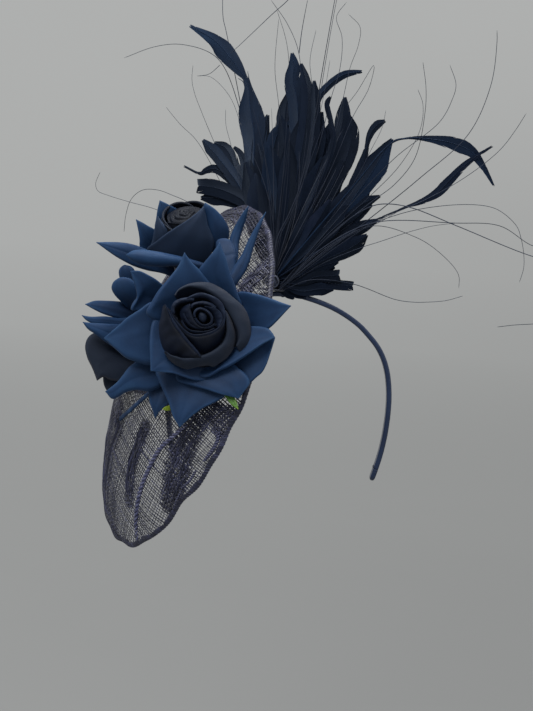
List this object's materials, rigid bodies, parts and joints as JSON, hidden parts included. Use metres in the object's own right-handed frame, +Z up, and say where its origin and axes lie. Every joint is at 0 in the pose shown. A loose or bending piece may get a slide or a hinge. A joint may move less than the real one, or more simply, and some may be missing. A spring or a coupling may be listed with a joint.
{
  "type": "fascinator headpiece",
  "caption": "Fascinator on a satin-covered headband, with a domed oval open-weave disc over one side of the head, silk roses on the disc and a spray of feathers at the crown.",
  "frame": {"origin": "inner face of the headband at its crown, where it rests on the top of the head", "axes": "+Z up, away from the head at the crown; +X towards the wearer's left; -Y towards the front of the head, the way the wearer faces"},
  "size_m": [0.297, 0.1594, 0.383],
  "materials": {
    "satin": "satin",
    "band_core": "matte",
    "sinamay": "matte open weave",
    "wire": "drawn",
    "felt": "matte",
    "thread": "matte",
    "feather": "satin",
    "feather_blue": "satin",
    "quill": "satin",
    "leaf": "matte",
    "petal_blue": "matte",
    "petal_grey": "matte",
    "petal_dark": "matte"
  },
  "bodies": {
    "headpiece": {"band_core_right": "band_core", "band_cover_right": "satin", "band_stitch_1": "thread", "band_stitch_2": "thread", "band_tip_right": "satin", "bandeau_riser": "felt", "bias_binding": "satin", "brim_wire": "wire", "feather_arrow_lower": "feather", "feather_arrow_upper": "feather", "feather_centre_crescent": "feather", "feather_centre_front": "feather", "feather_centre_narrow": "feather", "feather_centre_rear": "feather", "feather_centre_right": "feather", "feather_centre_right_outer": "feather", "feather_crest_tall": "feather_blue", "feather_left_curved": "feather", "feather_left_square": "feather", "feather_left_upper": "feather", "feather_middle_front": "feather", "feather_mount_binding": "thread", "feather_mount_pad": "felt", "feather_right_broad": "feather", "feather_right_low": "feather", "feather_right_low_front": "feather", "feather_right_short": "feather", "feather_right_short_front": "feather", "feather_right_slender": "feather", "quill_left_loop": "quill", "quill_right_long": "quill", "quill_right_long_rear": "quill", "quill_right_lowest": "quill", "quill_right_top": "quill", "quill_top_double": "quill", "quill_top_left": "quill", "rose_a_bud": "petal_dark", "rose_a_calyx": "leaf", "rose_a_mid_petals": "petal_blue", "rose_a_outer_petals": "petal_blue", "rose_a_ring_petals": "petal_grey", "rose_a_sepals": "leaf", "rose_a_spiral": "petal_dark", "rose_b_bud": "petal_dark", "rose_b_calyx": "leaf", "rose_b_inner_petals": "petal_blue", "rose_b_outer_petals": "petal_blue", "rose_c_bud": "petal_dark", "rose_c_calyx": "leaf", "rose_c_inner_petals": "petal_dark", "rose_c_outer_petals": "petal_blue", "sinamay_inner_layer": "sinamay", "sinamay_outer_layer": "sinamay"},
    "left_arm": {"band_core_left": "band_core", "band_cover_left": "satin", "band_tip_left": "satin"}
  },
  "joints": [
    {"name": "band_flex", "type": "hinge", "parent": "headpiece", "child": "left_arm", "pos_m": [0.0205, 0, 0.0005], "axis": [0, -1, 0], "range_deg": [0, 12], "stiffness_Nm_per_rad": 2.25}
  ]
}
